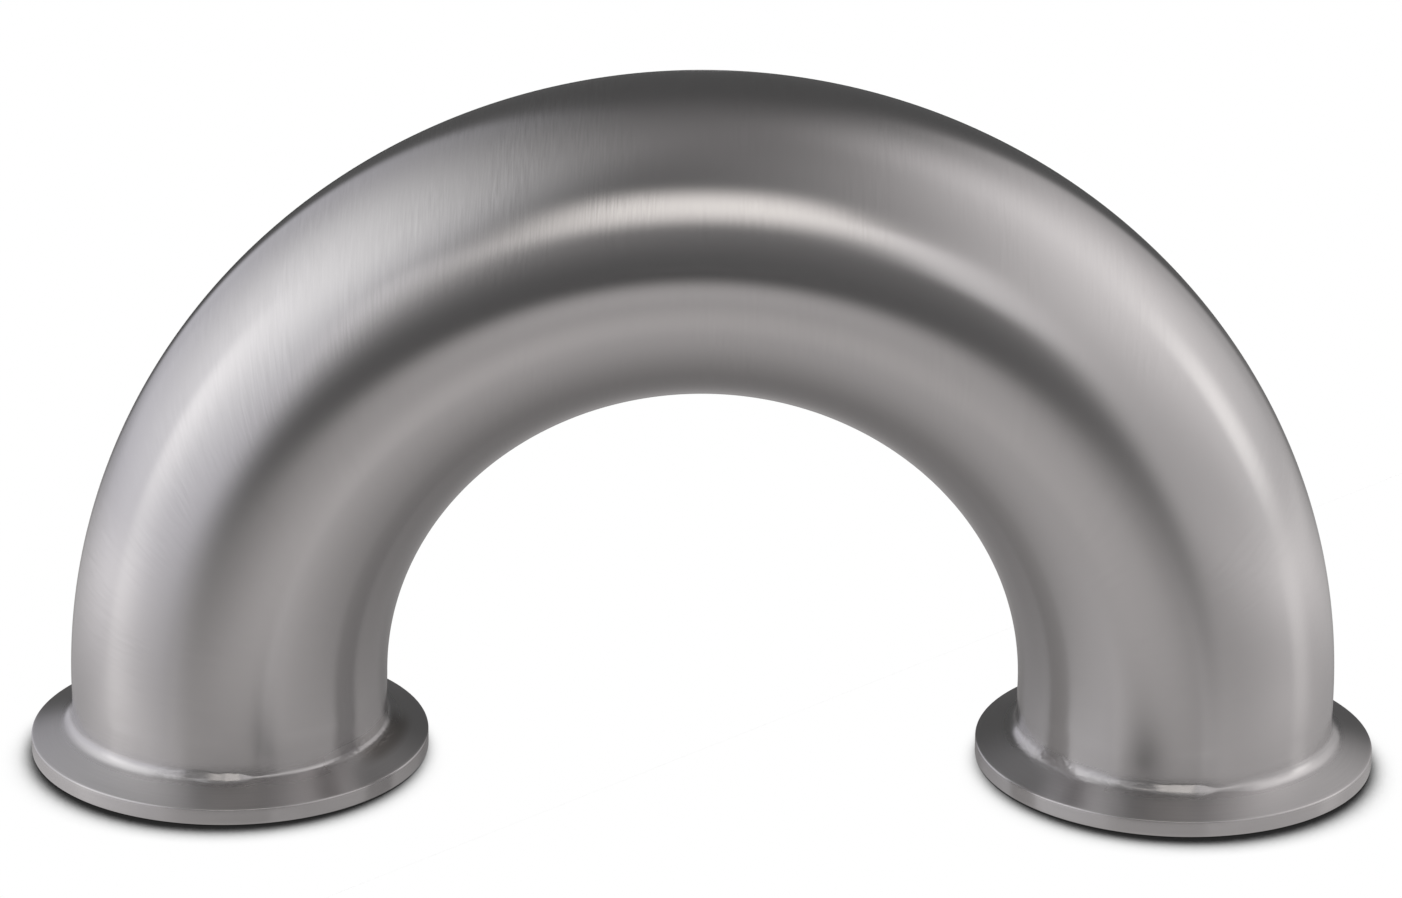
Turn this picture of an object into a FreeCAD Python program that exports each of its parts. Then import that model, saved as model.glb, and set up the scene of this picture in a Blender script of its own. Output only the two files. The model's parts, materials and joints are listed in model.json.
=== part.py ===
import FreeCAD, Part
import math
import os

from FreeCAD import Vector

# Sanitary 180 degree return bend with a clamp ferrule on each leg, of the 2 inch size.
#
# The real fitting is a weldment of three pieces: one bent tube and two turned short
# ferrules, butt-welded to its ends and ground flush outside and in.
#
# Units are millimetres. +Z is up and the fitting stands on its two clamp faces, as the
# photograph shows it. The origin is midway between the two legs on the plane of those
# faces, +X runs from the left leg to the right one, and the bend lies in the XZ plane.

# Tube: outer diameter and wall, which the ferrules' necks and bores share
tube_diameter = 50.8
tube_wall = 1.65

# Bend: the distance between the axes of the two legs
leg_spacing = 152.4

# Ferrule: its whole length from the clamp face to the weld
ferrule_length = 12.7

# Clamp flange: outer diameter, height of the rim before its edges are eased,
# and the slope of its upper side, which the clamp's jaws ride on
flange_diameter = 64.0
rim_height = 2.85
clamp_slope = 20.0

# Turned radii: foot of the neck, and the rim's upper and lower edges
neck_fillet = 2.2
rim_upper_radius = 0.5
rim_lower_radius = 0.3

# Gasket groove in the clamp face: diameter at its middle, section radius and depth
groove_diameter = 56.3
groove_radius = 2.35
groove_depth = 1.6

# Values that follow from the sizes above
neck_radius = tube_diameter / 2
bore_radius = neck_radius - tube_wall
flange_radius = flange_diameter / 2
bend_radius = leg_spacing / 2
slope_height = rim_height + (flange_radius - neck_radius) * math.tan(math.radians(clamp_slope))
groove_half_width = math.sqrt(groove_radius ** 2 - (groove_radius - groove_depth) ** 2)


def rounded_corner(before, corner, after, radius):
    """Start, middle and end of the arc that rounds one corner of an outline."""
    back = (before - corner).normalize()
    ahead = (after - corner).normalize()
    half_angle = back.getAngle(ahead) / 2
    reach = radius / math.tan(half_angle)
    bisector = (back + ahead).normalize()
    gap = radius / math.sin(half_angle) - radius
    return corner + back * reach, corner + bisector * gap, corner + ahead * reach


def ferrule_outline():
    """Half section of a ferrule: X is the distance from its axis, Z the height above its face."""
    groove_middle = groove_diameter / 2
    groove_inner = Vector(groove_middle - groove_half_width, 0, 0)
    groove_top = Vector(groove_middle, 0, groove_depth)
    groove_outer = Vector(groove_middle + groove_half_width, 0, 0)
    rim_foot = Vector(flange_radius, 0, 0)
    rim_head = Vector(flange_radius, 0, rim_height)
    neck_foot = Vector(neck_radius, 0, slope_height)
    neck_end = Vector(neck_radius, 0, ferrule_length)
    bore_end = Vector(bore_radius, 0, ferrule_length)
    bore_mouth = Vector(bore_radius, 0, 0)

    lower = rounded_corner(groove_outer, rim_foot, rim_head, rim_lower_radius)
    upper = rounded_corner(rim_foot, rim_head, neck_foot, rim_upper_radius)
    fillet = rounded_corner(rim_head, neck_foot, neck_end, neck_fillet)

    curves = [
        Part.LineSegment(bore_mouth, groove_inner),
        Part.Arc(groove_inner, groove_top, groove_outer),
        Part.LineSegment(groove_outer, lower[0]),
        Part.Arc(*lower),
        Part.LineSegment(lower[2], upper[0]),
        Part.Arc(*upper),
        Part.LineSegment(upper[2], fillet[0]),
        Part.Arc(*fillet),
        Part.LineSegment(fillet[2], neck_end),
        Part.LineSegment(neck_end, bore_end),
        Part.LineSegment(bore_end, bore_mouth),
    ]
    return Part.Wire([curve.toShape() for curve in curves])


def make_ferrule(leg_x):
    """A short weld ferrule, turned in one piece, standing on its clamp face under one leg."""
    section = Part.Face(ferrule_outline())
    ferrule = section.revolve(Vector(0, 0, 0), Vector(0, 0, 1), 360)
    ferrule.translate(Vector(leg_x, 0, 0))
    return ferrule


def make_bend():
    """The tube between the two welds: its annular section swept half a turn about the bend axis."""
    weld_centre = Vector(-bend_radius, 0, ferrule_length)
    along_leg = Vector(0, 0, 1)
    outside = Part.Wire(Part.makeCircle(neck_radius, weld_centre, along_leg))
    inside = Part.Wire(Part.makeCircle(bore_radius, weld_centre, along_leg))
    inside.reverse()
    section = Part.Face([outside, inside])
    return section.revolve(Vector(0, 0, ferrule_length), Vector(0, 1, 0), 180)


nodes = {
    "bend_tube": make_bend(),
    "ferrule_left": make_ferrule(-bend_radius),
    "ferrule_right": make_ferrule(bend_radius),
}

os.makedirs("parts", exist_ok=True)
for name, shape in nodes.items():
    shape.exportStep(f"parts/{name}.step")
    box = shape.optimalBoundingBox(False)
    print(name, shape.isValid(), len(shape.Solids), "solid(s)", round(shape.Volume, 1), "mm3")
    print("   low", round(box.XMin, 3), round(box.YMin, 3), round(box.ZMin, 3))
    print("   high", round(box.XMax, 3), round(box.YMax, 3), round(box.ZMax, 3))
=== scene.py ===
import json
import math

import bmesh
import bpy
from bpy.props import FloatProperty, FloatVectorProperty, IntProperty, PointerProperty
from mathutils import Matrix, Vector, noise


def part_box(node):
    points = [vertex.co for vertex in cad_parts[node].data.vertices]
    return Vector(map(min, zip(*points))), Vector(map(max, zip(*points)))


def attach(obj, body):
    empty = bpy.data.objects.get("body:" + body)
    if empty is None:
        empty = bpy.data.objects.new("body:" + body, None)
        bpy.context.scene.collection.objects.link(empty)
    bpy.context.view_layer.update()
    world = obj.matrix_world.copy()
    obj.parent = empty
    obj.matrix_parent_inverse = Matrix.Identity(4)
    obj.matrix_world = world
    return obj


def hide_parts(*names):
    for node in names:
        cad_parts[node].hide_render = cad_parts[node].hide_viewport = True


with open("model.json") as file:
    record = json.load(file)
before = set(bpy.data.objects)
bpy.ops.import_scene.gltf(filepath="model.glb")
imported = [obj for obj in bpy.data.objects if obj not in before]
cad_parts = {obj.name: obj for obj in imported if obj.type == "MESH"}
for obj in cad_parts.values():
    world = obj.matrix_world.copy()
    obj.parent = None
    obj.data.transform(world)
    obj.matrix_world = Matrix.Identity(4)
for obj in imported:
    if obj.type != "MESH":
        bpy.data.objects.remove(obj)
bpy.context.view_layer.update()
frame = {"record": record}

bl_info = {
    "name": "Sanitary U-bend",
    "version": (1, 0, 0),
    "blender": (4, 5, 0),
    "location": "3D View > Sidebar > U-bend",
    "description": "Makes the polished bend and its clamp ferrules and sets them in a studio",
    "category": "Object",
}

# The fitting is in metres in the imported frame: it stands on its two clamp faces at z = 0, +X runs
# from the left leg to the right one, and the bend lies in the XZ plane.

mm = 0.001
PHOTO_WIDTH = 1402  # pixels
SHARP_EDGE = math.radians(35)


def mount_size(name, key):
    """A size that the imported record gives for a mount, in metres."""
    for mount in frame["record"]["mounts"]:
        if mount["name"] == name:
            return mount["dims"][key] * mm
    raise RuntimeError(f"the packed record has no mount named {name}")


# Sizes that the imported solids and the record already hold
bend_low, bend_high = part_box("bend_tube")
TUBE_RADIUS = round((bend_high.y - bend_low.y) / 2, 4)
LEG_PLACE = round((bend_high.x - bend_low.x) / 2 - TUBE_RADIUS, 4)
FERRULE_LENGTH = round(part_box("ferrule_left")[1].z, 5)
FLANGE_RADIUS = mount_size("left_clamp_rim", "r_mm")
BORE_RADIUS = mount_size("left_bore", "r_mm")


def linear(code):
    """The linear colour, with alpha, of an sRGB hex code."""
    parts = [int(code[i : i + 2], 16) / 255 for i in (1, 3, 5)]
    return tuple(c / 12.92 if c <= 0.04045 else ((c + 0.055) / 1.055) ** 2.4 for c in parts) + (1.0,)


class UBendSizes(bpy.types.PropertyGroup):
    """Sizes of the fitting."""

    tube_radius: FloatProperty(
        name="Tube radius", description="Outer radius of the tube and of the ferrules' necks",
        default=TUBE_RADIUS, unit="LENGTH",
    )
    bore_radius: FloatProperty(
        name="Bore radius", description="Inner radius of the tube and of the ferrules",
        default=BORE_RADIUS, unit="LENGTH",
    )
    leg_place: FloatProperty(
        name="Leg place", description="From the middle to each leg's axis, which is also the bend's radius",
        default=LEG_PLACE, unit="LENGTH",
    )
    ferrule_length: FloatProperty(
        name="Ferrule length", description="From the clamp face to the weld",
        default=FERRULE_LENGTH, unit="LENGTH",
    )
    flange_radius: FloatProperty(
        name="Flange radius", description="Outer radius of the clamp flange",
        default=FLANGE_RADIUS, unit="LENGTH",
    )
    rim_height: FloatProperty(
        name="Rim height", description="Height of the flange's rim before its edges are eased",
        default=2.85 * mm, unit="LENGTH",
    )
    clamp_slope: FloatProperty(
        name="Clamp slope", description="Slope of the flange's upper side, which the clamp rides on",
        default=math.radians(20), subtype="ANGLE",
    )
    rim_round: FloatProperty(
        name="Rim round", description="Radius of the rim's upper edge",
        default=0.3 * mm, unit="LENGTH",
    )
    foot_round: FloatProperty(
        name="Foot round", description="Radius of the rim's lower edge",
        default=0.3 * mm, unit="LENGTH",
    )
    mouth_round: FloatProperty(
        name="Mouth round", description="Radius that the bore's sharp edge is broken to",
        default=0.2 * mm, unit="LENGTH",
    )
    groove_place: FloatProperty(
        name="Groove place", description="Radius at the middle of the gasket groove",
        default=28.15 * mm, unit="LENGTH",
    )
    groove_radius: FloatProperty(
        name="Groove radius", description="Radius of the gasket groove's section",
        default=2.35 * mm, unit="LENGTH",
    )
    groove_depth: FloatProperty(
        name="Groove depth", description="Depth of the gasket groove in the clamp face",
        default=1.6 * mm, unit="LENGTH",
    )
    bend_steps: IntProperty(
        name="Bend steps", description="Rings of faces along the half turn", default=216, min=8,
    )
    section_steps: IntProperty(
        name="Section steps", description="Faces round the tube", default=192, min=16,
    )
    turned_steps: IntProperty(
        name="Turned steps", description="Faces round a ferrule", default=384, min=16,
    )


class UBendSteel(bpy.types.PropertyGroup):
    """Finish of the stainless steel."""

    steel_colour: FloatVectorProperty(
        name="Steel", description="Colour of the polished stainless steel",
        default=linear("#D2D0D0")[:3], subtype="COLOR", min=0, max=1,
    )
    line_colour: FloatVectorProperty(
        name="Polishing line", description="Colour at the bottom of a polishing line",
        default=linear("#C0BEBE")[:3], subtype="COLOR", min=0, max=1,
    )
    tube_roughness: FloatProperty(
        name="Tube roughness", description="Roughness of the belt-polished tube",
        default=0.21, min=0, max=1, subtype="FACTOR",
    )
    ferrule_roughness: FloatProperty(
        name="Ferrule roughness", description="Roughness of the turned and buffed ferrules",
        default=0.21, min=0, max=1, subtype="FACTOR",
    )
    grain_pull: FloatProperty(
        name="Grain pull", description="How far the polishing lines pull a highlight out across them",
        default=0.75, min=0, max=1, subtype="FACTOR",
    )
    line_spacing: FloatProperty(
        name="Line spacing", description="Spacing of the polishing lines that show",
        default=0.22 * mm, unit="LENGTH",
    )
    line_length: FloatProperty(
        name="Line length", description="Length of a polishing line round the tube",
        default=4 * mm, unit="LENGTH",
    )


class UBendStudio(bpy.types.PropertyGroup):
    """Light and camera of the studio."""

    tent_radius: FloatProperty(
        name="Tent radius", description="Radius of the light tent and reach of the table in it",
        default=0.9, unit="LENGTH",
    )
    shadow_reach: FloatProperty(
        name="Shadow reach", description="How far off a surface still darkens the floor",
        default=8 * mm, unit="LENGTH",
    )
    focal_pixels: FloatProperty(
        name="Focal length", description="Focal length in pixels of the photograph's width",
        default=6697,
    )


# Meshes


def closed_skin(name, rings):
    """A closed mesh over rings of points, each ring joined to the next and the last to the first."""
    count, around = len(rings), len(rings[0])
    mesh = bpy.data.meshes.new(name)
    faces = []
    for i in range(count):
        here, there = i * around, (i + 1) % count * around
        for j in range(around):
            k = (j + 1) % around
            faces.append((here + j, here + k, there + k, there + j))
    mesh.from_pydata([point for ring in rings for point in ring], [], faces)
    work = bmesh.new()
    work.from_mesh(mesh)
    bmesh.ops.recalc_face_normals(work, faces=work.faces)
    work.to_mesh(mesh)
    work.free()
    mesh.shade_smooth()
    mesh.set_sharp_from_angle(angle=SHARP_EDGE)
    piece = bpy.data.objects.new(name, mesh)
    bpy.context.scene.collection.objects.link(piece)
    return piece


def store_vectors(piece, name, rings):
    """Keeps one vector for each point of a mesh, which its material reads."""
    layer = piece.data.attributes.new(name, "FLOAT_VECTOR", "POINT")
    layer.data.foreach_set("vector", [c for ring in rings for vector in ring for c in vector])


def store_values(piece, name, values):
    """Keeps one value for each point of a mesh, which its material reads."""
    piece.data.attributes.new(name, "FLOAT", "POINT").data.foreach_set("value", values)


def finish_piece(piece, node, material):
    """Rides a piece on the one rigid body, in its node's place and with its slot and material."""
    piece.data.materials.append(material)
    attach(piece, "root")
    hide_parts(node)


def smooth_step(low, high, value):
    """0 below low, 1 above high and an even S between them."""
    share = min(max((value - low) / (high - low), 0), 1)
    return share * share * (3 - 2 * share)


def between(low, low_softness, high, high_softness, value):
    """1 between two soft edges and 0 outside them."""
    rise = smooth_step(low - low_softness, low + low_softness, value)
    return rise * (1 - smooth_step(high - high_softness, high + high_softness, value))


# Depth of the polishing lines, and where the belt bit deeper: degrees from the left leg with the softness
# of each edge, and how much deeper
LINE_BITE = 0.08
DEEPER_BITES = (((63, 8, 78, 7), 0.40), ((80, 8, 108, 10), 0.14), ((10, 10, 60, 10), 0.11))
# How much the lines lean where the belt was held aslant
BELT_SLANT = 1.2


def belt_bite(turn, outward):
    """How deep the polishing lines are, by degrees from the left leg and by side, outward being 1."""
    deeper = sum(much * between(*edges, turn) for edges, much in DEEPER_BITES)
    return LINE_BITE + deeper * smooth_step(-0.1, 0.4, outward)


def make_tube(sizes):
    """The bend as a hollow half turn: out along its outside, and back along its bore."""
    rings, lines, runs, bites = [], [], [], []
    outside = range(sizes.bend_steps + 1)
    # The bore, which is hardly seen, has half as many rings
    bore = range(sizes.bend_steps, -1, -2)
    walls = [(i, sizes.tube_radius) for i in outside] + [(i, sizes.bore_radius) for i in bore]
    for i, radius in walls:
        turn = math.pi * i / sizes.bend_steps
        out = Vector((-math.cos(turn), 0, math.sin(turn)))
        along = Vector((math.sin(turn), 0, math.cos(turn)))
        centre = out * sizes.leg_place + Vector((0, 0, sizes.ferrule_length))
        ring, line, bite = [], [], []
        for j in range(sizes.section_steps):
            angle = 2 * math.pi * j / sizes.section_steps
            over, aside = radius * math.cos(angle), radius * math.sin(angle)
            ring.append(centre + out * over + Vector((0, aside, 0)))
            # The belt was held aslant on the shoulders, and square to the tube at the legs and the crown
            lean = BELT_SLANT * over * math.cos(turn) * (1 - math.cos(turn) ** 4)
            line.append(Vector((over, aside, sizes.leg_place * turn - lean)))
            bite.append(belt_bite(math.degrees(turn), math.cos(angle)))
        rings.append(ring)
        lines.append(line)
        runs.append([along] * sizes.section_steps)
        bites += bite
    piece = closed_skin("bend_tube_skin", rings)
    store_vectors(piece, "line_place", lines)
    store_vectors(piece, "grain_run", runs)
    store_values(piece, "line_bite", bites)
    return piece


def rounded_corner(before, corner, after, radius, steps):
    """Points of an arc of the radius that eases the corner of an outline."""
    to_before, to_after = (before - corner).normalized(), (after - corner).normalized()
    half = to_before.angle(to_after) / 2
    centre = corner + (to_before + to_after).normalized() * radius / math.sin(half)
    start = corner + to_before * radius / math.tan(half)
    first = start - centre
    sweep = math.pi - 2 * half
    if first.x * to_after.y - first.y * to_after.x < 0:
        sweep = -sweep
    points = []
    for i in range(steps + 1):
        angle = sweep * i / steps
        turned = Vector((
            first.x * math.cos(angle) - first.y * math.sin(angle),
            first.x * math.sin(angle) + first.y * math.cos(angle),
        ))
        points.append(centre + turned)
    return points


def run_between(start, end, steps):
    """Points between two ends, without the ends."""
    return [start.lerp(end, i / steps) for i in range(1, steps)]


def groove_outline(sizes, steps=36):
    """The gasket groove from its inner lip to its outer one, with its lips eased."""
    ease = 0.08 * mm
    sunk = sizes.groove_radius - sizes.groove_depth
    half_width = math.sqrt(sizes.groove_radius**2 - sunk**2) + ease
    points = []
    for i in range(steps + 1):
        across = half_width * (2 * i / steps - 1)
        depth = math.sqrt(max(sizes.groove_radius**2 - across**2, 0)) - sunk
        if depth < ease:
            depth = max(depth + ease, 0) ** 2 / (4 * ease)
        points.append(Vector((sizes.groove_place + across, depth)))
    return points


def ferrule_outline(sizes, dressing):
    """Half section of a ferrule as radius and height, up its outside and down its bore."""
    slope_rise = (sizes.flange_radius - sizes.tube_radius) * math.tan(sizes.clamp_slope)
    mouth = Vector((sizes.bore_radius, 0))
    foot = Vector((sizes.flange_radius, 0))
    shoulder = Vector((sizes.flange_radius, sizes.rim_height))
    neck_foot = Vector((sizes.tube_radius, sizes.rim_height + slope_rise))
    weld_outside = Vector((sizes.tube_radius, sizes.ferrule_length))
    weld_bore = Vector((sizes.bore_radius, sizes.ferrule_length))
    groove = groove_outline(sizes)
    # A number that ends a call below is a count of steps
    mouth_edge = rounded_corner(weld_bore, mouth, groove[0], sizes.mouth_round, 4)
    foot_edge = rounded_corner(groove[-1], foot, shoulder, sizes.foot_round, 5)
    rim_edge = rounded_corner(foot, shoulder, neck_foot, sizes.rim_round, 7)
    fillet = dressed_fillet(sizes, dressing, neck_foot)[::-1]
    outline = mouth_edge + run_between(mouth_edge[-1], groove[0], 3) + groove
    outline += run_between(groove[-1], foot_edge[0], 3) + foot_edge
    outline += run_between(foot_edge[-1], rim_edge[0], 5) + rim_edge
    outline += run_between(rim_edge[-1], fillet[0], 12) + fillet
    outline += run_between(fillet[-1], weld_outside, 18) + [weld_outside, weld_bore]
    outline += run_between(weld_bore, mouth_edge[0], 8)
    return outline


# The necks were dressed by hand after welding. Down from the neck the fillet is an arc, then a flat, then
# an arc that meets the clamp slope: bearing in degrees from the camera's side rightward, upper radius in
# mm, lean of the flat in degrees, its length in mm and lower radius in mm
DRESSINGS = {
    "left": (
        (-120, 2.2, 32, 0, 2.2), (-26, 2.2, 32, 0, 2.2), (-18, 1.6, 22, 0.5, 1.2), (-9, 1.6, 16, 1.1, 0.6),
        (0, 0.7, 31, 0.7, 1.6), (3, 0.7, 32, 0.9, 1.6), (6, 0.7, 32, 0.8, 1.5), (13, 0.6, 32, 0, 0.6),
        (28, 0.7, 32, 0, 0.7), (45, 0.9, 32, 0, 0.9), (70, 0.8, 32, 0, 0.8),
        (95, 1.6, 32, 0, 1.6), (130, 2.2, 32, 0, 2.2),
    ),
    "right": (
        (-130, 2.2, 32, 0, 2.2), (-64, 2.1, 32, 0, 2.1), (-50, 1.4, 32, 0, 1.4), (-39, 2.4, 32, 0, 2.4),
        (-29, 2.0, 32, 0, 2.0), (-20, 1.4, 20, 0.6, 0.9), (-13, 1.4, 18, 0.8, 0.8), (-7, 0.7, 31, 0.7, 1.6),
        (-2, 0.7, 32, 1.0, 1.6), (4, 0.7, 32, 1.0, 1.6), (13, 0.8, 32, 0, 0.8), (28, 2.2, 32, 0, 2.2),
        (60, 2.2, 32, 0, 2.2),
    ),
}


# A flat this long, in mm, can't be seen and keeps the rings of the mesh apart
SHORTEST_FLAT = 0.05
ARC_STEPS = 10
FLAT_STEPS = 3


def fillet_dressing(side, bearing):
    """Upper radius, lean and length of the flat, and lower radius of a fillet at a bearing."""
    places = DRESSINGS[side]
    values = places[0][1:]
    for (start, *first), (end, *last) in zip(places, places[1:]):
        if start <= bearing <= end:
            share = smooth_step(start, end, bearing)
            values = [a + (b - a) * share for a, b in zip(first, last)]
    upper, lean, flat, lower = values
    return upper * mm, math.radians(lean), max(flat, SHORTEST_FLAT) * mm, lower * mm


def dressed_fillet(sizes, dressing, neck_foot):
    """Points of a fillet from the neck down to the clamp slope."""
    upper, lean, flat, lower = dressing
    last_lean = math.pi / 2 - sizes.clamp_slope
    downward = Vector((math.sin(lean), -math.cos(lean)))
    points = []
    for i in range(ARC_STEPS + 1):
        angle = lean * i / ARC_STEPS
        points.append(Vector((upper * (1 - math.cos(angle)), -upper * math.sin(angle))))
    flat_start = points[-1]
    points += [flat_start + downward * flat * i / FLAT_STEPS for i in range(1, FLAT_STEPS)]
    flat_end = flat_start + downward * flat
    for i in range(ARC_STEPS + 1):
        angle = lean + (last_lean - lean) * i / ARC_STEPS
        points.append(flat_end + lower * Vector((
            math.cos(lean) - math.cos(angle), math.sin(lean) - math.sin(angle),
        )))
    end = points[-1]
    start = neck_foot + Vector((0, -end.x * math.tan(sizes.clamp_slope) - end.y))
    return [start + point for point in points]


# The grinding wheel left each neck uneven in broad and in fine waves: how close the waves are round the
# neck, and their height and depth
BROAD_WAVES = (3.2, 7 * mm, 0.07 * mm)
FINE_WAVES = (11, 9 * mm, 0.018 * mm)
WAVE_SEEDS = {"left": 4, "right": 5}


def ground_waves(waves, bearing, height, seed):
    """How far one kind of wave stands off the turned shape, in metres."""
    closeness, wave_height, depth = waves
    angle = math.radians(bearing)
    across, along = math.cos(angle) * closeness, math.sin(angle) * closeness
    return depth * noise.noise(Vector((across, along, height / wave_height + seed)))


def hand_dressing(side, bearing, height):
    """How far the hand-dressed neck of a ferrule stands off its turned shape, in metres."""
    seed = WAVE_SEEDS[side]
    worked = smooth_step(4.6 * mm, 7.2 * mm, height) * (1 - smooth_step(10.4 * mm, 12.5 * mm, height))
    broad = ground_waves(BROAD_WAVES, bearing, height, seed)
    return worked * (broad + ground_waves(FINE_WAVES, bearing, height, -seed))


# Where the foot of each neck is scuffed: bearings with the softness of each edge, and how much more than
# elsewhere
SCUFFS = {
    "left": ((-26, 6, 22, 6, 0.3), (42, 8, 86, 6, 1.0)),
    "right": ((-72, 6, -28, 6, 0.8), (-22, 5, 12, 6, 0.3)),
}
SCUFFED_ELSEWHERE = 0.2
# Bearings of the painted shade beside the left neck, toward the other leg, with the softness of each edge
CORNER_SHADE_BEARINGS = (57, 8, 94, 9)
# How much rougher the clamp slope is, which was only turned, as a share of the buffed neck's roughness
TURNED_ROUGHNESS = 0.45
FERRULE_LINE_BITE = 0.12


def scuffing(side, bearing, radius, height, sizes):
    """How much the surface is scuffed at a place on a ferrule."""
    share = SCUFFED_ELSEWHERE + sum(much * between(*edges, bearing) for *edges, much in SCUFFS[side])
    near_foot = 1 - smooth_step(sizes.tube_radius + 1.2 * mm, sizes.tube_radius + 2.4 * mm, radius)
    return share * near_foot * between(4.2 * mm, 0.4 * mm, 7.2 * mm, 0.8 * mm, height)


def painted_corner_shade(side, bearing, radius, sizes):
    """How much painted shade darkens a clamp slope in the corner by its neck, which is beside the left neck
    alone.
    """
    beside_neck = between(sizes.tube_radius + 0.5 * mm, 0.5 * mm, sizes.tube_radius + 3.3 * mm, mm, radius)
    return beside_neck * between(*CORNER_SHADE_BEARINGS, bearing) if side == "left" else 0


def surface_marks(side, bearing, radius, height, sizes):
    """How rough the turning left a place on a ferrule, how much it is scuffed and how much painted shade
    darkens it.
    """
    on_slope = height > sizes.rim_height - 0.2 * mm
    outside = radius > sizes.tube_radius - mm / 2
    slope_inner = sizes.tube_radius + 1.4 * mm
    turned = TURNED_ROUGHNESS * smooth_step(slope_inner, slope_inner + mm, radius) if on_slope else 0
    scuffed = scuffing(side, bearing, radius, height, sizes) if outside else 0
    corner_shade = painted_corner_shade(side, bearing, radius, sizes) if on_slope else 0
    return turned, scuffed, corner_shade


def make_ferrule(side, sizes, leg_x):
    """A turned clamp ferrule, its neck dressed by hand where the weld was ground."""
    columns = []
    for j in range(sizes.turned_steps):
        bearing = 360 * j / sizes.turned_steps - 180
        right, back = math.sin(math.radians(bearing)), -math.cos(math.radians(bearing))
        outline = ferrule_outline(sizes, fillet_dressing(side, bearing))
        column, travelled = [], 0
        for i, point in enumerate(outline):
            before, after = outline[i - 1], outline[(i + 1) % len(outline)]
            if i:
                travelled += (point - before).length
            run = (after - before).normalized()
            radius, height = point
            if radius > sizes.bore_radius + mm / 2:
                radius += hand_dressing(side, bearing, height)
            column.append((
                Vector((leg_x + radius * right, radius * back, height)),
                Vector((point.x * right, point.x * back, travelled)),
                Vector((run.x * right, run.x * back, run.y)),
                *surface_marks(side, bearing, radius, height, sizes),
            ))
        columns.append(column)
    rings, lines, runs, turned, scuffed, corner_shade = (
        [[column[i][k] for column in columns] for i in range(len(columns[0]))] for k in range(6)
    )
    piece = closed_skin(f"ferrule_{side}_skin", rings)
    store_vectors(piece, "line_place", lines)
    store_vectors(piece, "grain_run", runs)
    # Besides the turning and the scuffs, the marks hold painted shade in the corner beside the left neck
    for name, marks in (("turned_face", turned), ("scuffed", scuffed), ("painted_corner_shade", corner_shade)):
        store_values(piece, name, [value for ring in marks for value in ring])
    store_values(piece, "line_bite", [FERRULE_LINE_BITE] * len(piece.data.vertices))
    return piece


# Materials


def add_node(tree, kind, inputs=None, **settings):
    """Adds a node, makes its settings, and sets or links its inputs."""
    node = tree.nodes.new(kind)
    for name, value in settings.items():
        setattr(node, name, value)
    for name, value in (inputs or {}).items():
        if isinstance(value, bpy.types.NodeSocket):
            tree.links.new(value, node.inputs[name])
        else:
            node.inputs[name].default_value = value
    return node


def new_material(name):
    """An empty material and its node tree."""
    material = bpy.data.materials.new(name)
    material.use_nodes = True
    material.node_tree.nodes.clear()
    return material, material.node_tree


def polishing_lines(tree, spacing, length, detail):
    """Noise drawn out into lines round the part, of a real spacing and length."""
    place = add_node(tree, "ShaderNodeAttribute", attribute_name="line_place")
    scaled = add_node(
        tree, "ShaderNodeVectorMath",
        {0: place.outputs["Vector"], 1: (1 / length, 1 / length, 1 / spacing)},
        operation="MULTIPLY",
    )
    drawn = add_node(
        tree, "ShaderNodeTexNoise",
        {"Vector": scaled.outputs["Vector"], "Scale": 1.0, "Detail": detail, "Roughness": 0.55},
        noise_dimensions="3D",
    )
    return drawn.outputs["Fac"]


# How much wider and longer the broad polishing lines are than the fine ones
BROAD_WIDER = 1.8
BROAD_LONGER = 1.4
# What the fine and the broad noise add up to at the bottom and the top of a line
LINE_BOTTOM = 0.78
LINE_TOP = 1.22
# Spacing and length of the places that the belt skipped
SKIP_SPACING = 9 * mm
SKIP_LENGTH = 14 * mm
# The scuffs of the hand dressing
SCUFF_SPACING = 0.7 * mm
SCUFF_LENGTH = 1.4 * mm
SCUFF_DEPTH = 0.08 * mm
SCUFF_ROUGHNESS = 0.6
# Colour of the painted shade in the corner beside the left neck
CORNER_SHADE_COLOUR = "#A39E9B"


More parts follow.
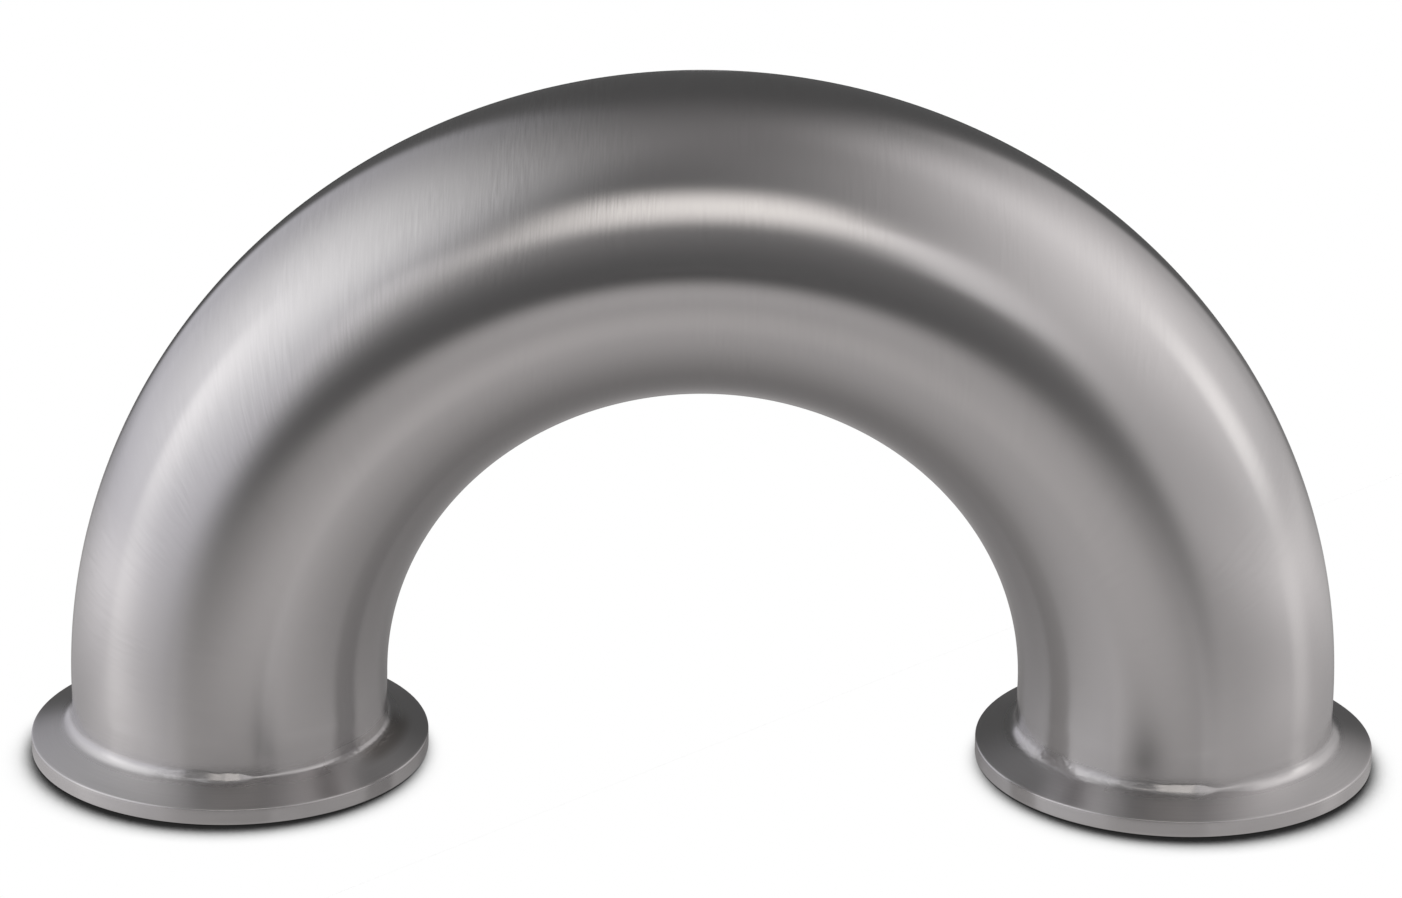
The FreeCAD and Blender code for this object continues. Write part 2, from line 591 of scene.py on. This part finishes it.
def polished_steel(name, steel, roughness, spacing, length, line_depth):
    """Stainless steel with polishing lines round the part, which draw each highlight out across them."""
    material, tree = new_material(name)
    fine = polishing_lines(tree, spacing, length, 2.0)
    broad = polishing_lines(tree, spacing * BROAD_WIDER, length * BROAD_LONGER, 1.0)
    both = add_node(tree, "ShaderNodeMath", {0: fine, 1: broad}, operation="ADD")
    lines = add_node(
        tree, "ShaderNodeMapRange",
        {"Value": both.outputs[0], "From Min": LINE_BOTTOM, "From Max": LINE_TOP,
         "To Min": 0.0, "To Max": 1.0},
        clamp=False,
    )
    bite = add_node(tree, "ShaderNodeAttribute", attribute_name="line_bite")
    # The belt skips a little, so the lines are from 0.3 to 1.5 times as deep
    strokes = polishing_lines(tree, SKIP_SPACING, SKIP_LENGTH, 1.0)
    skips = add_node(
        tree, "ShaderNodeMapRange",
        {"Value": strokes, "From Min": 0.36, "From Max": 0.62, "To Min": 0.3, "To Max": 1.5},
    )
    depth = add_node(
        tree, "ShaderNodeMath", {0: bite.outputs["Fac"], 1: skips.outputs["Result"]}, operation="MULTIPLY",
    )
    centred = add_node(tree, "ShaderNodeMath", {0: lines.outputs[0], 1: 0.5}, operation="SUBTRACT")
    bitten = add_node(
        tree, "ShaderNodeMath", {0: centred.outputs[0], 1: depth.outputs[0]}, operation="MULTIPLY",
    )
    share = add_node(tree, "ShaderNodeMath", {0: bitten.outputs[0], 1: 0.5}, operation="ADD")
    colour = add_node(
        tree, "ShaderNodeMix",
        {0: share.outputs[0], 6: (*steel.line_colour, 1), 7: (*steel.steel_colour, 1)}, data_type="RGBA",
    )
    # Painted shade: the steel is coloured darker in the corner beside the left neck, toward the other leg
    corner_shade_share = add_node(tree, "ShaderNodeAttribute", attribute_name="painted_corner_shade")
    corner_shade = add_node(
        tree, "ShaderNodeMix",
        {0: corner_shade_share.outputs["Fac"], 6: colour.outputs[2], 7: linear(CORNER_SHADE_COLOUR)}, data_type="RGBA",
    )
    # A line is rougher at its bottom than at its top
    rough = add_node(
        tree, "ShaderNodeMapRange",
        {"Value": share.outputs[0], "From Min": 0.0, "From Max": 1.0,
         "To Min": roughness * 1.1, "To Max": roughness * 0.9},
    )
    # A face that was only turned, or was scuffed, is rougher and blurs what it mirrors
    turned = add_node(tree, "ShaderNodeAttribute", attribute_name="turned_face")
    scuffed = add_node(tree, "ShaderNodeAttribute", attribute_name="scuffed")
    coarse = add_node(
        tree, "ShaderNodeMath", {0: scuffed.outputs["Fac"], 1: SCUFF_ROUGHNESS, 2: turned.outputs["Fac"]},
        operation="MULTIPLY_ADD",
    )
    rougher = add_node(
        tree, "ShaderNodeMath",
        {0: coarse.outputs[0], 1: rough.outputs["Result"], 2: rough.outputs["Result"]},
        operation="MULTIPLY_ADD",
    )
    # The scuffs tilt the surface this way and that
    scuffs = polishing_lines(tree, SCUFF_SPACING, SCUFF_LENGTH, 1.0)
    centred_scuffs = add_node(tree, "ShaderNodeMath", {0: scuffs, 1: 0.5}, operation="SUBTRACT")
    scuff_height = add_node(
        tree, "ShaderNodeMath", {0: centred_scuffs.outputs[0], 1: scuffed.outputs["Fac"]},
        operation="MULTIPLY",
    )
    worn = add_node(
        tree, "ShaderNodeBump",
        {"Height": scuff_height.outputs[0], "Strength": 1.0, "Distance": SCUFF_DEPTH},
    )
    relief = add_node(
        tree, "ShaderNodeBump",
        {"Height": bitten.outputs[0], "Strength": 1.0, "Distance": line_depth,
         "Normal": worn.outputs["Normal"]},
    )
    run = add_node(tree, "ShaderNodeAttribute", attribute_name="grain_run")
    shader = add_node(
        tree, "ShaderNodeBsdfPrincipled",
        {"Base Color": corner_shade.outputs[2], "Metallic": 1.0, "Roughness": rougher.outputs[0],
         "Anisotropic": steel.grain_pull, "Tangent": run.outputs["Vector"],
         "Normal": relief.outputs["Normal"]},
    )
    add_node(tree, "ShaderNodeOutputMaterial", {"Surface": shader.outputs[0]})
    return material


def glowing_cloth(name, glossy):
    """Cloth of the light tent, or the glossy table, whose brightness at each point is kept with its mesh."""
    material, tree = new_material(name)
    glow = add_node(tree, "ShaderNodeAttribute", attribute_name="glow")
    light = add_node(tree, "ShaderNodeEmission", {"Color": glow.outputs["Color"], "Strength": 1.0})
    surface = light.outputs[0]
    if glossy:
        # Dark sheet under clear acrylic, whose two faces mirror half as much again as one would, and
        # most at a glancing angle
        face = add_node(tree, "ShaderNodeFresnel", {"IOR": 1.49})
        faces = add_node(
            tree, "ShaderNodeMath", {0: face.outputs[0], 1: 1.5}, operation="MULTIPLY", use_clamp=True,
        )
        mirror = add_node(tree, "ShaderNodeBsdfGlossy", {"Color": (1, 1, 1, 1), "Roughness": 0.03})
        both = add_node(
            tree, "ShaderNodeMixShader", {"Fac": faces.outputs[0], 1: light.outputs[0], 2: mirror.outputs[0]},
        )
        surface = both.outputs[0]
    add_node(tree, "ShaderNodeOutputMaterial", {"Surface": surface})
    material.cycles.emission_sampling = "NONE"
    return material


def studio_floor(reach):
    """Pale floor that the camera and the metal see as white, but for the fitting's contact shadow."""
    material, tree = new_material("pale_studio_floor")
    # The light comes from above and behind and a little from between the legs, so the shadow is
    # deepest before the ferrules and toward their outer sides. It is full where less than 0.47 of that
    # light comes in, and gone at 0.89
    lean, swing = math.radians(63), math.radians(12)
    place = add_node(tree, "ShaderNodeNewGeometry")
    spot = add_node(tree, "ShaderNodeSeparateXYZ", {"Vector": place.outputs["Position"]})
    inward = math.sin(lean) * math.sin(swing)
    aside = add_node(
        tree, "ShaderNodeMapRange",
        {"Value": spot.outputs["X"], "From Min": -LEG_PLACE, "From Max": LEG_PLACE,
         "To Min": inward, "To Max": -inward},
    )
    tilted = add_node(
        tree, "ShaderNodeCombineXYZ",
        {"X": aside.outputs["Result"], "Y": math.sin(lean) * math.cos(swing), "Z": math.cos(lean)},
    )
    closeness = add_node(
        tree, "ShaderNodeAmbientOcclusion",
        {"Distance": reach, "Normal": tilted.outputs[0]}, samples=24,
    )
    shade = add_node(
        tree, "ShaderNodeMapRange",
        {"Value": closeness.outputs["AO"], "From Min": 0.47, "From Max": 0.89, "To Min": 0.02, "To Max": 1.0},
        interpolation_type="SMOOTHSTEP",
    )
    white = add_node(tree, "ShaderNodeEmission", {"Color": (1, 1, 1, 1), "Strength": shade.outputs["Result"]})
    pale = add_node(tree, "ShaderNodeBsdfDiffuse", {"Color": linear("#F2F1EF")})
    path = add_node(tree, "ShaderNodeLightPath")
    seen = add_node(
        tree, "ShaderNodeMath",
        {0: path.outputs["Is Camera Ray"], 1: path.outputs["Is Glossy Ray"]}, operation="MAXIMUM",
    )
    seen_through = add_node(
        tree, "ShaderNodeMath",
        {0: seen.outputs[0], 1: path.outputs["Is Transmission Ray"]}, operation="MAXIMUM",
    )
    surface = add_node(
        tree, "ShaderNodeMixShader",
        {"Fac": seen_through.outputs[0], 1: pale.outputs[0], 2: white.outputs[0]},
    )
    clear = add_node(tree, "ShaderNodeBsdfTransparent")
    one_sided = add_node(
        tree, "ShaderNodeMixShader",
        {"Fac": place.outputs["Backfacing"], 1: surface.outputs[0], 2: clear.outputs[0]},
    )
    add_node(tree, "ShaderNodeOutputMaterial", {"Surface": one_sided.outputs[0]})
    material.cycles.emission_sampling = "NONE"
    return material


# Stage


def put_on_stage(name, points, faces, material):
    """A mesh of the studio, which isn't part of the fitting."""
    mesh = bpy.data.meshes.new(name)
    mesh.from_pydata(points, [], faces)
    mesh.materials.append(material)
    thing = bpy.data.objects.new(name, mesh)
    bpy.context.scene.collection.objects.link(thing)
    return thing


# Soft panels of the light tent: bearings in degrees from the camera's side, rightward, with the softness
# of each edge; rises above level with the softness of each edge; brightness, 1 being white, before soft
# edges that meet take from it; and tint
PANELS = {
    "left wall": ((-153, 3, -39, 13), (-20, 12, 12, 66), 0.94, (0.98, 0.97, 1.05)),
    "left wall's lamp": ((-125, 41, -45, 30), (24, 33, 40, 50), 2.0, (1.00, 1.00, 1.00)),
    "left wall's edge": ((-93, 3, -78, 12), (2, 8, 26, 10), 0.38, (1.01, 1.00, 0.97)),
    "left wall's foot": ((-136, 6, -96, 8), (0, 6, 14, 10), 0.11, (0.98, 0.98, 1.04)),
    "right wall": ((32, 6, 150, 3), (-20, 12, 40, 13), 0.35, (1.02, 0.99, 0.99)),
    "right wall's lamp": ((57, 77, 130, 35), (21, 31, 65, 19), 1.0, (1.02, 0.99, 0.99)),
    "right wall's foot": ((78, 12, 136, 8), (2, 6, 15, 12), 0.16, (1.00, 1.00, 1.00)),
    "right wall's tube": ((90, 1, 104, 7), (6, 4, 25, 8), 0.50, (1.02, 1.00, 0.98)),
    "front strip": ((-22, 10, 21, 3), (33, 7, 50, 7), 1.13, (1.04, 1.00, 0.96)),
    "right of the camera": ((22, 1, 26, 19), (19, 2, 39, 1), 1.4, (1.01, 0.99, 1.00)),
    "left of the camera": ((-44, 1, -37, 58), (16, 16, 35, 1), 0.67, (1.02, 0.99, 0.99)),
    "ceiling": ((-200, 5, 200, 5), (68, 22, 95, 5), 0.11, (1.03, 0.98, 0.99)),
}
TENT_GREY = 0.105
# Soft pools of light on the table: place and spread in x and y, in mm, and brightness. The last two are
# painted shadows of the legs, small dark spots on the table that the necks mirror
POOLS = (
    ((-130, -25), (30, 15), 0.35),
    ((55, -55), (45, 35), 0.34),
    ((140, -25), (25, 25), 0.25),
    ((135, 85), (220, 50), 0.34),
    ((-20, -230), (110, 90), 0.58),
    ((-360, 15), (130, 105), 1.6),
    ((660, -15), (210, 290), 4.9),
    ((-55, -80), (40, 35), 0.34),
    ((70, -120), (35, 30), 0.23),
    # Painted shadows of the legs on the table
    ((-58, -44), (3.5, 6), -0.32),
    ((61, -45), (6, 4.5), -0.52),
)
TABLE_GREY = 0.035
DARKEST_TABLE = 0.01
TABLE_TINT = (1.02, 0.99, 0.985)
CLOTH_STEP = 2  # degrees


def tent_glow(turn, rise):
    """Colour that the tent shines with at a bearing and a rise."""
    glow = Vector((TENT_GREY,) * 3)
    for turns, rises, brightness, tint in PANELS.values():
        glow += Vector(tint) * brightness * between(*turns, turn) * between(*rises, rise)
    return glow


def table_glow(x, y):
    """Colour that the table shines with at a place."""
    glow = TABLE_GREY
    for (pool_x, pool_y), (spread_x, spread_y), brightness in POOLS:
        across, along = (x / mm - pool_x) / spread_x, (y / mm - pool_y) / spread_y
        glow += brightness * math.exp(-(across**2 + along**2) / 2)
    return Vector(TABLE_TINT) * max(glow, DARKEST_TABLE)


def spread_cloth(name, rows, glows, glossy):
    """A cloth over rows of points, with its glow kept, which only the metal sees."""
    across = len(rows[0])
    faces = []
    for i in range(len(rows) - 1):
        for j in range(across):
            k = (j + 1) % across
            faces.append((i * across + k, i * across + j, (i + 1) * across + j, (i + 1) * across + k))
    cloth = put_on_stage(name, [p for row in rows for p in row], faces, glowing_cloth(name, glossy))
    layer = cloth.data.attributes.new("glow", "FLOAT_COLOR", "POINT")
    layer.data.foreach_set("color", [c for row in glows for glow in row for c in (*glow, 1)])
    cloth.visible_camera = False
    cloth.visible_diffuse = False
    cloth.visible_transmission = False
    cloth.visible_shadow = False


def make_tent(radius):
    """The light tent: a dome of cloth round the fitting."""
    rows, glows = [], []
    turns = range(-180, 180, CLOTH_STEP)
    for rise in range(0, 91, CLOTH_STEP):
        level, height = radius * math.cos(math.radians(rise)), radius * math.sin(math.radians(rise))
        row = []
        for turn in turns:
            angle = math.radians(turn)
            row.append((level * math.sin(angle), -level * math.cos(angle), height))
        rows.append(row)
        glows.append([tent_glow(turn, rise) for turn in turns])
    spread_cloth("light_tent", rows, glows, False)


def make_table(radius):
    """The glossy table top inside the tent, a hair over the white floor: one half round each leg."""
    table_height, inner, steps = 0.3 * mm, 28 * mm, 90
    turns = [math.radians(angle) for angle in range(0, 360, CLOTH_STEP)]
    for side, leg_x, towards in (("left", -LEG_PLACE, 1), ("right", LEG_PLACE, -1)):
        rows, glows, ends = [], [], []
        for turn in turns:
            middle = math.cos(turn) * towards
            ends.append(min(radius, LEG_PLACE / middle) if middle > 0 else radius)
        for i in range(steps + 1):
            # The rings lie closer together toward the leg
            share = (i / steps) ** 2.5
            row = []
            for turn, end in zip(turns, ends):
                distance = inner + (end - inner) * share
                row.append((leg_x + distance * math.cos(turn), distance * math.sin(turn), table_height))
            rows.append(row)
            glows.append([table_glow(x, y) for x, y, _ in row])
        spread_cloth(f"{side}_table_top", rows, glows, True)


def set_camera(focal_pixels):
    """The camera at the photograph's place, fitted on the fitting's own sizes."""
    place = Vector((-0.1, -990.0, 443.1)) * mm
    turn, dip, lean = math.radians(0.034), math.radians(21.543), math.radians(0.70)
    spin = Matrix.Rotation(turn, 3, "Z")
    ahead = spin @ Vector((0, math.cos(dip), -math.sin(dip)))
    over = spin @ Vector((0, math.sin(dip), math.cos(dip)))
    right = spin @ Vector((1, 0, 0))
    right, over = (
        math.cos(lean) * right + math.sin(lean) * over,
        -math.sin(lean) * right + math.cos(lean) * over,
    )
    data = bpy.data.cameras.new("photo_camera")
    data.sensor_fit = "HORIZONTAL"
    data.sensor_width = 36
    data.lens = data.sensor_width * focal_pixels / PHOTO_WIDTH
    data.clip_start, data.clip_end = 0.05, 50
    camera = bpy.data.objects.new("photo_camera", data)
    bpy.context.scene.collection.objects.link(camera)
    turned = Matrix((right, over, -ahead)).transposed().to_4x4()
    camera.matrix_world = Matrix.Translation(place) @ turned
    bpy.context.scene.camera = camera


# Operators

# Depth of the lines that the belt left on the tube and the tool on the ferrules, and how much longer than
# the belt's the tool's lines are
TUBE_LINE_DEPTH = 0.0012 * mm
FERRULE_LINE_DEPTH = 0.0010 * mm
TOOL_LINES_LONGER = 2.5


class UBEND_OT_make_bend(bpy.types.Operator):
    """Makes the bent tube in its polished steel"""

    bl_idname = "ubend.make_bend"
    bl_label = "Bent tube"

    def execute(self, context):
        sizes, steel = context.scene.ubend_sizes, context.scene.ubend_steel
        # 304 stainless tube, bent and then polished with a belt held across it. The grit leaves fine
        # lines round the tube that are about 0.05 mm apart and are drawn 0.22 mm apart to show. They
        # pull each highlight out along the bend and leave its edges crisp round the tube.
        material = polished_steel(
            "belt_polished_stainless_tube", steel, steel.tube_roughness,
            steel.line_spacing, steel.line_length, TUBE_LINE_DEPTH,
        )
        finish_piece(make_tube(sizes), "bend_tube", material)
        return {"FINISHED"}


class UBEND_OT_make_ferrules(bpy.types.Operator):
    """Makes the two turned clamp ferrules"""

    bl_idname = "ubend.make_ferrules"
    bl_label = "Clamp ferrules"

    def execute(self, context):
        sizes, steel = context.scene.ubend_sizes, context.scene.ubend_steel
        # 304 stainless bar, turned, buffed, and dressed by hand where the weld was ground. The tool
        # leaves marks round the part that are about 0.1 mm apart and are drawn 0.22 mm apart to show.
        # They blur what the neck and the rim mirror, the turned clamp slope most, and the uneven fillet
        # and its scuffs break the highlight at the foot of the neck.
        material = polished_steel(
            "turned_stainless_ferrule", steel, steel.ferrule_roughness,
            steel.line_spacing, steel.line_length * TOOL_LINES_LONGER, FERRULE_LINE_DEPTH,
        )
        for side, leg_x in (("left", -sizes.leg_place), ("right", sizes.leg_place)):
            piece = make_ferrule(side, sizes, leg_x)
            finish_piece(piece, f"ferrule_{side}", material)
        return {"FINISHED"}


class UBEND_OT_set_stage(bpy.types.Operator):
    """Sets the pale floor, the light tent and the camera"""

    bl_idname = "ubend.set_stage"
    bl_label = "Studio"

    def execute(self, context):
        studio = context.scene.ubend_studio
        context.scene.view_settings.view_transform = "Standard"
        world = bpy.data.worlds.new("white_studio")
        world.use_nodes = True
        world.node_tree.nodes.clear()
        white = add_node(world.node_tree, "ShaderNodeBackground", {"Color": (1, 1, 1, 1), "Strength": 1.0})
        add_node(world.node_tree, "ShaderNodeOutputWorld", {"Surface": white.outputs[0]})
        world.cycles.sampling_method = "NONE"
        context.scene.world = world
        half = 20
        corners = [(-half, -half, 0), (half, -half, 0), (half, half, 0), (-half, half, 0)]
        put_on_stage("studio_floor", corners, [(0, 1, 2, 3)], studio_floor(studio.shadow_reach))
        make_table(studio.tent_radius)
        make_tent(studio.tent_radius)
        set_camera(studio.focal_pixels)
        return {"FINISHED"}


class UBEND_PT_panel(bpy.types.Panel):
    """Lists what makes the fitting and its studio"""

    bl_idname = "UBEND_PT_panel"
    bl_label = "Sanitary U-bend"
    bl_space_type = "VIEW_3D"
    bl_region_type = "UI"
    bl_category = "U-bend"

    def draw(self, context):
        scene = context.scene
        for title, group in (
            ("Sizes", scene.ubend_sizes), ("Steel", scene.ubend_steel), ("Studio", scene.ubend_studio),
        ):
            box = self.layout.box()
            box.label(text=title)
            for name in group.__annotations__:
                box.prop(group, name)
        for operator in OPERATORS:
            self.layout.operator(operator.bl_idname)


GROUPS = (UBendSizes, UBendSteel, UBendStudio)
OPERATORS = (UBEND_OT_make_bend, UBEND_OT_make_ferrules, UBEND_OT_set_stage)


def register():
    for part in (*GROUPS, *OPERATORS, UBEND_PT_panel):
        bpy.utils.register_class(part)
    bpy.types.Scene.ubend_sizes = PointerProperty(type=UBendSizes)
    bpy.types.Scene.ubend_steel = PointerProperty(type=UBendSteel)
    bpy.types.Scene.ubend_studio = PointerProperty(type=UBendStudio)


def unregister():
    del bpy.types.Scene.ubend_sizes, bpy.types.Scene.ubend_steel, bpy.types.Scene.ubend_studio
    for part in reversed((*GROUPS, *OPERATORS, UBEND_PT_panel)):
        bpy.utils.unregister_class(part)


def main():
    register()
    bpy.ops.ubend.make_bend()
    bpy.ops.ubend.make_ferrules()
    bpy.ops.ubend.set_stage()


if __name__ == "__main__":
    main()
